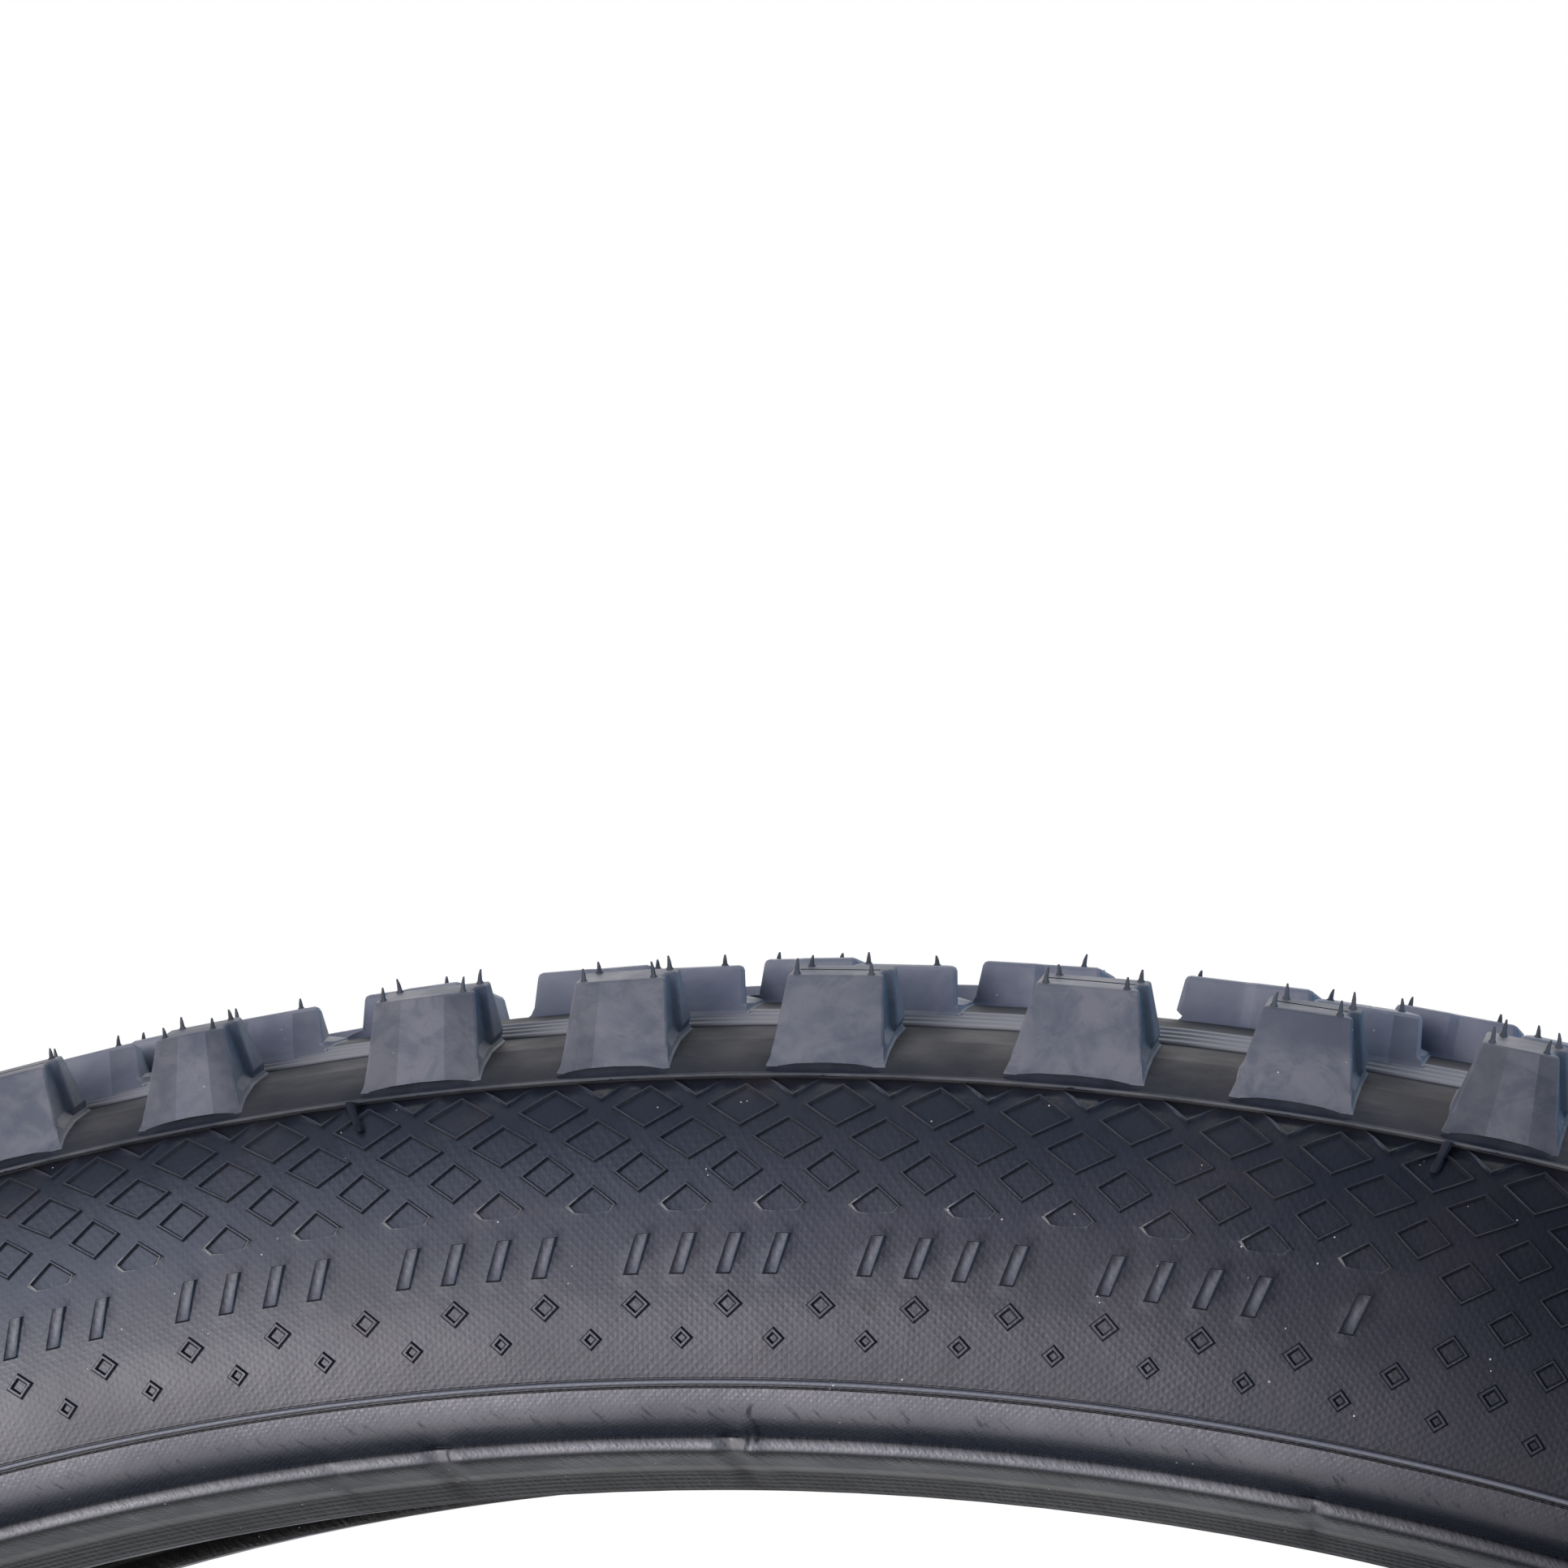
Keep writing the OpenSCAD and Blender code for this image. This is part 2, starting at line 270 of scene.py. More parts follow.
class Shader:
    """Short way to write a node material: each call adds a node and returns its output."""

    def __init__(self, name, kind="materials"):
        self.owner = getattr(bpy.data, kind).new(name)
        self.owner.use_nodes = True
        self.tree = self.owner.node_tree
        self.tree.nodes.clear()
        self.find_coordinates()

    def add(self, kind, output=0, inputs=(), **settings):
        node = self.tree.nodes.new(kind)
        for key, value in settings.items():
            setattr(node, key, value)
        for key, value in dict(inputs).items():
            if isinstance(value, bpy.types.NodeSocket):
                self.tree.links.new(value, node.inputs[key])
            elif value is not None:
                node.inputs[key].default_value = value
        return node.outputs[output]

    def math(self, operation, a, b=0.0):
        return self.add("ShaderNodeMath", inputs={0: a, 1: b}, operation=operation)

    def times(self, a, b):
        return self.math("MULTIPLY", a, b)

    def noise(self, scale, detail=3, rough=0.55, vector=None, distortion=0.0):
        inputs = {"Vector": vector or self.place, "Scale": scale, "Detail": detail, "Roughness": rough,
                  "Distortion": distortion}
        return self.add("ShaderNodeTexNoise", inputs=inputs)

    def ramp(self, value, low, high, out_low=0.0, out_high=1.0):
        inputs = {"Value": value, "From Min": low, "From Max": high, "To Min": out_low, "To Max": out_high}
        return self.add("ShaderNodeMapRange", inputs=inputs, interpolation_type="SMOOTHSTEP")

    def rise(self, value, low, high):
        """Rises from 0 at the place low to 1 at the place high, both in mm."""
        return self.ramp(value, low * MM, high * MM)

    def between(self, value, rise, fall):
        """1 between two edges, 0 outside them. Each edge is the start and end of a ramp, in mm."""
        return self.times(self.rise(value, *rise), self.rise(value, *fall[::-1]))

    def near(self, value, place, core, edge):
        """1 within the core distance of a place, fading to 0 at the edge distance, all in mm."""
        away = self.math("ABSOLUTE", self.math("SUBTRACT", value, place * MM))
        return self.rise(away, edge, core)

    def tint(self, color, factor, share, other):
        """Mixes in another colour, up to a share of it."""
        return self.mix(self.times(factor, share), color, other)

    def mix(self, factor, a, b):
        """Mixes two colours, each a socket or (r, g, b)."""
        a, b = (c if isinstance(c, bpy.types.NodeSocket) else (*c, 1) for c in (a, b))
        return self.add("ShaderNodeMix", 2, {0: factor, 6: a, 7: b}, data_type="RGBA")

    def bump(self, height, distance, strength=1.0, normal=None):
        inputs = {"Height": height, "Distance": distance * MM, "Strength": strength, "Normal": normal}
        return self.add("ShaderNodeBump", inputs=inputs)

    def find_coordinates(self):
        """Object coordinates, and metres along the ring and across the tube."""
        self.place = self.add("ShaderNodeTexCoord", "Object")
        x, y, z = [self.add("ShaderNodeSeparateXYZ", i, {0: self.place}) for i in range(3)]
        turn = self.math("ARCTAN2", x, z)
        self.radius = self.math("SQRT", self.math("ADD", self.times(x, x), self.times(z, z)))
        self.around = self.times(turn, AROUND_R * MM)
        self.side = self.math("ABSOLUTE", y)
        rise = self.math("SUBTRACT", self.radius, SIDE_C[0] * MM)
        out = self.math("SUBTRACT", self.side, (HALF_W - TURN_RADIUS) * MM)
        self.across = self.times(self.math("ARCTAN2", rise, out), ACROSS_R * MM)

    def cords(self, pitch):
        """Height, from -1 to 1, of two crossing sets of cords at plus and minus 45 degrees to the ring."""
        heights = []
        for operation in ("ADD", "SUBTRACT"):
            diagonal = self.math(operation, self.around, self.across)
            heights.append(self.math("SINE", self.times(diagonal, 2 * math.pi / (pitch * MM))))
        return self.math("MAXIMUM", heights[0], heights[1])

    def painted_light(self, rest):
        """1 around the top of the tire and rest on the rest of the ring: the mask of the painted light that
        keeps the top lighter and the rest of the ring darker.
        """
        away = self.math("ABSOLUTE", self.math("SUBTRACT", self.around, along_ring(PAINTED_LIGHT_AT)))
        return self.ramp(away, along_ring(PAINTED_LIGHT_FADE[0]), along_ring(PAINTED_LIGHT_FADE[1]), 1, rest)

    def finish(self, color, roughness, normal=None, specular=0.5, sheen=0.0):
        inputs = {"Base Color": color, "Roughness": roughness, "Specular IOR Level": specular,
                  "Sheen Weight": sheen, "Normal": normal}
        self.show("ShaderNodeOutputMaterial", self.add("ShaderNodeBsdfPrincipled", inputs=inputs))
        return self.owner

    def show(self, kind, surface):
        """Sends a surface to an output node of this kind."""
        self.tree.links.new(surface, self.tree.nodes.new(kind).inputs["Surface"])


# Mean radii that turn angles around the ring and around the tube into lengths
AROUND_R = 315.0
ACROSS_R = 16.0
# Angle of the middle of the part of the ring that gets painted light, and where that painted light fades on
# both sides of it
PAINTED_LIGHT_AT = -4
PAINTED_LIGHT_FADE = (11, 20)


def along_ring(angle):
    """Metres along the ring from its top."""
    return math.radians(angle) * AROUND_R * MM


def specks(shader, scale, size):
    """Sparse dust specks: 1 on a speck, 0 off it."""
    distance = shader.add("ShaderNodeTexVoronoi", "Distance", {"Vector": shader.place, "Scale": scale})
    near = shader.math("LESS_THAN", distance, size)
    patch = shader.math("GREATER_THAN", shader.noise(scale * 0.3, 1.0), 0.68)
    return shader.times(near, patch)


def tread_rubber(name, tone=1.0):
    """Rubber of the knobs, paler on the inner knobs as painted light where the shoulder knobs would shade
    them. Tone darkens it as painted shade for facets that face away from the light.
    """
    s = Shader(name)
    cloud = s.ramp(s.noise(85, 4, 0.65, distortion=0.4), 0.38, 0.62)
    smear = s.ramp(s.noise(260, 4, 0.7, distortion=0.7), 0.44, 0.66)
    color = s.mix(cloud, (0.072, 0.076, 0.093), (0.132, 0.13, 0.14))
    color = s.tint(color, smear, 0.6, (0.058, 0.064, 0.084))
    # Painted shade: the knobs are painted darker away from the top of the ring
    color = s.mix(s.painted_light(0.68), (0, 0, 0), color)
    # Painted light: the inner knobs, which the shoulder knobs would shade, are painted paler
    crown = s.mix(cloud, (0.125, 0.133, 0.16), (0.185, 0.185, 0.205))
    color = s.mix(s.rise(s.side, 20, 19), color, crown)
    # Painted highlight on the knobs' sharp edges
    edge_highlight = s.ramp(s.add("ShaderNodeNewGeometry", "Pointiness"), 0.53, 0.62)
    color = s.tint(color, edge_highlight, 0.45, (0.2, 0.2, 0.21))
    # Painted shade for facets that face away from the light
    color = s.mix(1 - tone, color, (0, 0, 0))
    color = s.mix(specks(s, 900, 0.1), color, (0.35, 0.34, 0.32))
    rough = s.ramp(s.noise(140), 0.3, 0.7, 0.52, 0.68)
    grain = s.bump(s.noise(2600, 2), 0.05, 0.5)
    return s.finish(color, rough, s.bump(s.noise(420), 0.12, 0.5, grain), 0.45)


def floor_rubber():
    """Dull rubber between the knobs, painted darker than the knobs as painted shade, with a pale band of fine
    lines along the crown, pale partly in its own colour and partly as painted light, and a painted highlight
    on the lip.
    """
    s = Shader("floor_rubber")
    cloud = s.ramp(s.noise(90, 4, 0.65), 0.35, 0.65)
    # Painted shade: the floor between the knobs is much darker than the knob rubber
    color = s.mix(cloud, (0.013, 0.015, 0.02), (0.025, 0.025, 0.028))
    # Pale band: partly its own paler colour, partly painted light
    band = s.between(s.side, (15.6, 16.1), (20.05, 20.25))
    color = s.tint(color, band, 0.95, (0.215, 0.21, 0.21))
    # Painted highlight along the lip's rib
    lip = s.rise(s.radius, LIP_R + 0.45, LIP_R + 0.35)
    color = s.mix(lip, color, s.mix(cloud, (0.05, 0.052, 0.06), (0.1, 0.1, 0.105)))
    rough = s.ramp(s.noise(140), 0.3, 0.7, 0.6, 0.75)
    grain = s.bump(s.noise(2200, 2), 0.05, 0.5)
    return s.finish(color, rough, s.bump(s.noise(300), 0.15, 0.5, grain), 0.25)


def fine_rubber(name, dark, light, roughness, specular):
    """Rubber of the hairs, and of the cuts in the knobs, where its dark copy is painted shade."""
    s = Shader(name)
    color = s.mix(s.ramp(s.noise(300), 0.35, 0.7), dark, light)
    return s.finish(color, roughness, s.bump(s.noise(1500, 2), 0.05, 0.5), specular)


# Angle, r and a of a black blot on the right sidewall
BLOT = (3.0, 309.7, 39.3)
# Height over the rim line of the middle of the fine rib beside it, which gets a painted highlight
RIB_RISE = 0.62


def sidewall_rubber():
    s = Shader("sidewall_rubber")
    cloud = s.ramp(s.noise(38, 4, 0.6), 0.3, 0.7)
    color = s.mix(cloud, (0.009, 0.011, 0.018), (0.014, 0.014, 0.019))
    bloom = s.ramp(s.noise(95, 4, 0.6, distortion=0.4), 0.48, 0.75)
    color = s.tint(color, bloom, 0.5, (0.034, 0.027, 0.029))
    # Painted highlight: the crests of the ridges and of the rim line's rib are painted paler
    crest = s.ramp(s.add("ShaderNodeNewGeometry", "Pointiness"), 0.54, 0.62)
    crest = s.math("MAXIMUM", crest, s.near(s.radius, RIM_LINE[0] + RIB_RISE, 0.12, 0.28))
    # Painted light: the rest of the ring is painted darker and less shiny than its top
    painted_light = s.painted_light(0.45)
    color = s.mix(painted_light, (0.004, 0.005, 0.008), color)
    color = s.tint(color, crest, 0.85, (0.13, 0.132, 0.145))
    ends = {0: s.place, 1: tuple(polar(*BLOT))}
    blot = s.add("ShaderNodeVectorMath", "Value", ends, operation="DISTANCE")
    blot = s.math("ADD", blot, s.times(s.noise(2500, 2), 0.5 * MM))
    color = s.mix(s.rise(blot, 1.15, 0.95), color, (0.003, 0.003, 0.004))
    color = s.mix(specks(s, 1100, 0.1), color, (0.4, 0.4, 0.38))
    rough = s.ramp(s.noise(60, 4), 0.3, 0.7, 0.32, 0.4)
    cord = s.bump(s.cords(1.0), 0.03, 0.15)
    grain = s.bump(s.noise(2400, 2), 0.03, 0.5, cord)
    normal = s.bump(s.noise(180), 0.16, 0.4, grain)
    return s.finish(color, rough, normal, s.times(painted_light, 0.5))


# Angle of each dark line of painted shade along a fold on the beads, and its lower and upper end in mm over
# the bead's bore
FOLD_SHADES = [(-5.07, 1.0, 5.6), (0.66, 3.6, 6.6), (0.87, 4.4, 8.8), (-7.4, 1.0, 4.6), (11.1, 1.0, 5.2)]


def chafer_fabric():
    s = Shader("chafer_fabric")
    cloud = s.ramp(s.noise(45, 4, 0.6), 0.3, 0.7)
    color = s.mix(cloud, (0.016, 0.02, 0.03), (0.024, 0.027, 0.036))
    # The cheek and the heel are painted pale as painted light, with a painted highlight along the heel; the
    # base is a neutral grey with one pale line
    cheek = s.rise(s.radius, BEAD_R + 6.2, BEAD_R + 7.9)
    color = s.mix(cheek, color, s.mix(cloud, (0.1, 0.096, 0.105), (0.155, 0.146, 0.152)))
    heel = s.between(s.radius, (BEAD_R + 3.8, BEAD_R + 4.3), (BEAD_R + 5.05, BEAD_R + 5.3))
    color = s.mix(heel, color, s.mix(cloud, (0.125, 0.124, 0.128), (0.21, 0.205, 0.205)))
    base = s.rise(s.radius, BEAD_R + 4.1, BEAD_R + 3.7)
    color = s.mix(base, color, (0.014, 0.013, 0.011))
    color = s.tint(color, s.near(s.radius, BEAD_R + 2.25, 0.1, 0.35), 0.8, (0.095, 0.09, 0.08))
    # Painted shade: dark lines along the creases where the strip was folded
    wobble = s.times(s.math("SUBTRACT", s.noise(420), 0.5), 2.2 * MM)
    wavy = s.math("ADD", s.around, wobble)
    for at, low, high in FOLD_SHADES:
        length = s.between(s.radius, (BEAD_R + low, BEAD_R + low + 0.6), (BEAD_R + high - 1, BEAD_R + high))
        fold_shade = s.times(s.near(wavy, along_ring(at) / MM, 0.08, 0.42), length)
        color = s.tint(color, fold_shade, 0.8, (0.007, 0.009, 0.014))
    # Fine slanted wrinkles on the cheek, with painted shade in their hollows
    steep = s.times(s.math("ADD", s.around, s.radius), 1100.0)
    flat = s.times(s.math("SUBTRACT", s.around, s.radius), 260.0)
    wrinkle = s.noise(1.0, 3, 0.6, vector=s.add("ShaderNodeCombineXYZ", 0, {0: steep, 1: flat}))
    on_cheek = s.between(s.radius, (BEAD_R + 5.2, BEAD_R + 6.0), (BEAD_R + 7.4, BEAD_R + 9.0))
    hollow = s.times(s.ramp(wrinkle, 0.56, 0.66), on_cheek)
    color = s.tint(color, hollow, 0.6, (0.01, 0.012, 0.018))
    # Painted light: the rest of the ring is painted darker and less shiny than its top
    painted_light = s.painted_light(0.3)
    color = s.mix(painted_light, (0.006, 0.007, 0.01), color)
    color = s.mix(specks(s, 1000, 0.1), color, (0.4, 0.4, 0.38))
    weave = s.bump(s.cords(0.8), 0.05, 0.28)
    crease = s.bump(wrinkle, 0.3, 0.6, weave)
    normal = s.bump(s.noise(330, 4, 0.6, distortion=1.2), 0.25, 0.45, crease)
    rough = s.ramp(s.noise(120), 0.3, 0.7, 0.36, 0.5)
    return s.finish(color, rough, normal, s.times(painted_light, 0.5))


def liner_rubber():
    s = Shader("liner_rubber")
    color = s.mix(s.ramp(s.noise(60, 4), 0.3, 0.7), (0.014, 0.014, 0.017), (0.026, 0.026, 0.03))
    color = s.mix(specks(s, 700, 0.12), color, (0.25, 0.25, 0.24))
    cord = s.bump(s.cords(1.1), 0.05, 0.6)
    rough = s.ramp(s.noise(90), 0.3, 0.7, 0.42, 0.6)
    return s.finish(color, rough, s.bump(s.noise(900, 2), 0.05, 0.4, cord))


def woven(name, dark, light, pitch, roughness):
    """Rubber-coated or bare cords that cross at 45 degrees."""
    s = Shader(name)
    cord = s.ramp(s.cords(pitch), -0.6, 0.8)
    color = s.mix(cord, dark, light)
    color = s.mix(s.times(s.noise(80), 0.4), color, dark)
    return s.finish(color, roughness, s.bump(cord, 0.15, 0.8), 0.4, 0.15)


def base_rubber():
    s = Shader("base_rubber")
    color = s.mix(s.ramp(s.noise(90, 4), 0.3, 0.7), (0.02, 0.02, 0.022), (0.035, 0.034, 0.035))
    rough = s.ramp(s.noise(150), 0.3, 0.7, 0.6, 0.75)
    return s.finish(color, rough, s.bump(s.noise(1600, 2), 0.06, 0.5))


def cord_bundle():
    """Twisted aramid cord: the strands turn around the bundle as it runs around the ring."""
    s = Shader("aramid_cord")
    twist = s.math("ADD", s.around, s.times(s.radius, 2.0))
    strands = s.math("SINE", s.times(twist, 2 * math.pi / (1.4 * MM)))
    strands = s.ramp(strands, -0.8, 0.8)
    color = s.mix(strands, (0.3, 0.2, 0.04), (0.68, 0.52, 0.16))
    return s.finish(color, 0.55, s.bump(strands, 0.2, 0.8), 0.4, 0.2)


WHISKER_RUBBER = fine_rubber("whisker_rubber", (0.03, 0.032, 0.036), (0.055, 0.056, 0.06), 0.6, 0.4)
TREAD_RUBBER = tread_rubber("tread_rubber")
# Darker copy of the knob rubber, painted shade for facets that face away from the light
SHADED_RUBBER = tread_rubber("tread_rubber_shaded", 0.74)
FLOOR_RUBBER = floor_rubber()
# Dark rubber for the cuts in the tread, painted shade in the scallops under the knobs and in the sipes, and
# the own black of the nubs at the tread's edge
RECESS_RUBBER = fine_rubber("tread_recess", (0.012, 0.014, 0.02), (0.022, 0.024, 0.032), 0.75, 0.15)
SIDEWALL_RUBBER = sidewall_rubber()
CHAFER_FABRIC = chafer_fabric()

# ---- Sidewalls ----

COLUMNS = 216
FIRST_COLUMN = 0.484
ROW_TOP_R = 332.2
ROW_STEP_R = 3.2
# Share of a cell that each row's diamond fills, around the ring and across it, and the ridge's width in mm
ROW_SHAPE = [(0.76, 0.74, 0.4), (0.76, 0.68, 0.4), (0.75, 0.68, 0.4), (0.6, 0.66, 0.42), (0.58, 0.66, 0.42),
             (0.47, 0.58, 0.45), (0.39, 0.51, 0.48), (0.33, 0.43, 0.55), (0.26, 0.35, 0.55)]
ROWS = len(ROW_SHAPE)
RIDGE_H = 0.34
# Share of the ridge's width, from its outer foot to its inner foot, and share of its height
RIDGE_PROFILE = ((0, 0), (0.33, 1), (0.67, 1), (1, 0))
MARK_ZONES = [(-9, 7), (99, 115)]
# Corners and middles of a cell's edges, clockwise from the top
DIAMOND = [(0, -1), (0.5, -0.5), (1, 0), (0.5, 0.5), (0, 1), (-0.5, 0.5), (-1, 0), (-0.5, -0.5)]
RECTANGLE = [(0, -1), (1, -1), (1, 0), (1, 1), (0, 1), (-1, 1), (-1, 0), (-1, -1)]


class Relief:
    """Mesh of the sidewall in (column, row) coordinates. Cells share the points on their borders."""

    def __init__(self):
        self.points, self.faces, self.index = [], [], {}

    def point(self, u, v, height=0.0):
        key = (round(u * 4000) % (COLUMNS * 4000), round(v * 4000))
        if key not in self.index:
            self.index[key] = len(self.points)
            r, a = on_outline(ROW_TOP_R - ROW_STEP_R * v, height)
            self.points.append((FIRST_COLUMN + u * 360 / COLUMNS, r, a))
        return self.index[key]

    def extra(self, u, r, a):
        self.points.append((FIRST_COLUMN + u * 360 / COLUMNS, r, a))
        return len(self.points) - 1

    def loops(self, loops, closed=True):
        for outer, inner in zip(loops, loops[1:]):
            count = len(outer) if closed else len(outer) - 1
            for i in range(count):
                k = (i + 1) % len(outer)
                self.faces.append((outer[i], outer[k], inner[k], inner[i]))

    def cell(self, u, v, border, rings):
        """Border and rings are lists of 8 points. The innermost ring is filled with four faces."""
        loops = [[self.point(*p) for p in border]] + [[self.point(*p) for p in ring] for ring in rings]
        self.loops(loops)
        last = loops[-1]
        middle = self.point(u, v)
        for i in range(0, 8, 2):
            self.faces.append((last[i - 1], last[i], last[i + 1], middle))


def ridge_rings(u, v, outline, inset, open_at):
    """Four rings of a raised outline: outer foot, two crests and inner foot.

    Inset is the ridge's share of the outline's size. The ridge runs out to nothing at the points in open_at.
    """
    rings = []
    for share, rise in RIDGE_PROFILE:
        scale = 1 - share * inset
        rings.append([(u + x * scale, v + y * scale, 0 if i in open_at else rise * RIDGE_H)
                      for i, (x, y) in enumerate(outline)])
    return rings


def diamond_inset(v):
    """Ridge width as a share of the distance from the diamond's middle to its edges."""
    wide, high, width = ROW_SHAPE[v]
    half_wide = wide / 2 * math.radians(360 / COLUMNS) * (ROW_TOP_R - ROW_STEP_R * v)
    r0, a0 = on_outline(ROW_TOP_R - ROW_STEP_R * (v - 1))
    r1, a1 = on_outline(ROW_TOP_R - ROW_STEP_R * (v + 1))
    half_high = high / 2 * math.hypot(r1 - r0, a1 - a0)
    return width / (half_wide * half_high / math.hypot(half_wide, half_high))


def zone_part(u):
    """Tells whether column u is inside a marking zone, at one of its ends, or outside."""
    for start, end in MARK_ZONES:
        past = (u - start) % COLUMNS
        if past <= end - start:
            return {0: "start", end - start: "end"}.get(past, "inside")
    return "outside"


def diamond_cell(relief, u, v):
    wide, high, _ = ROW_SHAPE[v]
    zone = zone_part(u)
    border = [(u + x / 2, v + y) for x, y in DIAMOND]
    outline = [(x * wide / 2, y * high) for x, y in DIAMOND]
    open_at = ()
    if v in (5, 6) and zone == "inside":
        return
    if v == 4 and zone == "inside":
        border[4] = (u, v + 0.5)
        outline[4] = (0, 0.26)
        outline[3], outline[5] = (0.2, 0.22), (-0.2, 0.22)
        open_at = (3, 4, 5)
    if v == 7 and zone == "inside":
        border[0] = (u, v - 0.5)
    if v == 5 and zone in ("start", "end"):
        # Plain cell beside the bars
        first, second, x = (2, 3, u + 0.25) if zone == "start" else (6, 5, u - 0.25)
        border[first], border[second] = (x, v + 0.5), (x, v + 1.5)
        relief.cell(u, v + 0.4, border, [])
        return
    relief.cell(u, v, border, ridge_rings(u, v, outline, diamond_inset(v), open_at))


def top_half_row(relief):
    """Lower halves of the diamonds that the tread's edge cuts, and the plain strip under the tread."""
    wide, high, _ = ROW_SHAPE[0]
    inset = diamond_inset(0)
    lower_half = DIAMOND[6:1:-1]
    line = []
    for column in range(COLUMNS):
        u = column + 0.5
        border = [(u + x / 2, y) for x, y in lower_half]
        rings = []
        for share, rise in RIDGE_PROFILE:
            scale = 1 - share * inset
            rings.append([(u + x * wide / 2 * scale, y * high * scale, RIDGE_H * rise if y > 0 else 0)
                          for x, y in lower_half])
        loops = [[relief.point(*p) for p in ring] for ring in [border] + rings]
        relief.loops(loops, closed=False)
        middle = relief.point(u, 0)
        last = loops[-1]
        relief.faces += [(last[0], last[1], last[2], middle), (middle, last[2], last[3], last[4])]
        line += [(u - 0.5, loops[0][0])] + [(ring[0][0], loop[0]) for ring, loop in zip(rings, loops[1:])]
        line += [(u, middle)] + [(ring[4][0], loop[4]) for ring, loop in zip(rings[::-1], loops[:0:-1])]
    return line


def marking(relief, start, end):
    """Band of generic slanted bars, each in its own rectangular cell."""
    top, v, bottom = 4.5, 5.5, 6.5
    lean, half_u, half_v = 0.07, 0.085, 0.62
    shape = [(x * half_u - y * lean, y * half_v) for x, y in RECTANGLE]
    cells = 2 * (end - start) - 1
    for i in range(cells):
        u = start + 0.5 + i / 2
        border = [(u + x / 4, v + y) for x, y in RECTANGLE]
        rings = [[(u + x * wide, v + y * high, rise) for x, y in shape]
                 for wide, high, rise in ((1, 1, 0), (0.75, 0.94, 0.26))]
        relief.cell(u, v, border, rings if i % 5 != 4 else [])
        # Triangle between the cell and the corner of the diamonds above or below it
        edge, corner = (top, 4) if i % 2 else (bottom, 7)
        triangle = ((-0.25, edge), (0, edge), (0.25, edge), (0, corner))
        relief.faces.append([relief.point(u + x, y) for x, y in triangle])


def sidewall(name, side):
    relief = Relief()
    line = top_half_row(relief)
    for v in range(1, ROWS):
        for column in range(COLUMNS):
            diamond_cell(relief, column + (0.5 if v % 2 == 0 else 0), v)
    for start, end in MARK_ZONES:
        marking(relief, start, end)

    # Straight lower border, with a point at each cell's corner and middle
    for column in range(COLUMNS):
        left, low_left, tip, low_right, right, foot = (
            relief.point(column + x, ROWS + y)
            for x, y in ((-0.5, 0), (-0.25, -0.5), (0, -1), (0.25, -0.5), (0.5, 0), (0, 0)))
        relief.faces += [(left, low_left, foot), (low_left, tip, low_right, foot), (foot, low_right, right)]

    # Rim line: a rib between two fine grooves, then the wall's underside back to the belt's edge
    edge_r = RIM_LINE[0]
    rim_rows = [on_outline(edge_r + rise, height) for rise, height in (
        (1.25, 0), (1.05, 0), (0.98, -0.14), (0.88, -0.14), (0.8, 0.24), (RIB_RISE, 0.3), (0.42, 0.24),
        (0.34, -0.14), (0.22, -0.14), (0.14, 0), (0.02, 0))]
    under_radii = np.linspace(edge_r + 0.02, OUTLINE[0, 0] - 4.6, 12)
    under_rows = [on_outline(r, -SKIN_T) for r in under_radii]
    us = [i / 2 for i in range(2 * COLUMNS)]
    rows = [[relief.point(u, ROWS) for u in us]]
    rows += [[relief.extra(u, r, a) for u in us] for r, a in rim_rows + under_rows]
    count = len(us)
    for upper, lower in zip(rows, rows[1:]):
        for i in range(count):
            relief.faces.append((upper[i], lower[i], lower[(i + 1) % count], upper[(i + 1) % count]))

    # Plain strip under the tread, joined to the underside at the belt's edge
    top_rows = [[p for _, p in line]]
    for r in (OUTLINE[0, 0] - 5.6, OUTLINE[0, 0] - 4.6):
        top_rows.append([relief.extra(u, *on_outline(r)) for u, _ in line])
    for lower, upper in zip(top_rows, top_rows[1:]):
        for i in range(len(line)):
            k = (i + 1) % len(line)
            relief.faces.append((lower[i], lower[k], upper[k], upper[i]))
    # The strip has 10 points to a column and the underside has 2
    belt, under = top_rows[-1], rows[-1]
    for column in range(COLUMNS):
        for half in (0, 1):
            strip = [belt[(10 * column + 5 * half + i) % len(belt)] for i in range(6)]
            first = (2 * column + half) % count
            relief.faces.append([*strip, under[(first + 1) % count], under[first]])

    verts = polar(*(np.array(relief.points).T * np.array([[1], [1], [side]])))
    piece = new_piece("relief_" + name, verts, relief.faces, [SIDEWALL_RUBBER], 60)
    weigh_normals(piece)
    stand_in(piece, name)


sidewall("sidewall_right", 1)
sidewall("sidewall_left", -1)

# ---- Tread ----

REPEATS = 16
FIRST_KNOB = -9.5
KNOB_LATE = [0, 0.12, 0.03, 0.01, 0.13, 0.09]
PITCH = 360 / REPEATS / len(KNOB_LATE)
SHOULDER_TOP_W = [7.4, 10.6, 9.4, 9.7, 10.2, 8.6]
SHOULDER_FOOT_W = [10.6, 12, 11, 11.4, 13.2, 11.4]
# Front faces of the shoulder knobs: share of the width and bulge in mm at two upright creases
SHOULDER_CREASES = [((0.36, 0.75), (0.8, 0.7)), ((0.29, 0.71), (0.7, 0.6)), ((0.3, 0.75), (0.6, 0.4)),
                    ((0.3, 0.7), (0.16, 0.14)), ((0.3, 0.7), (0.16, 0.14)), ((0.3, 0.7), (0.22, 0.14))]
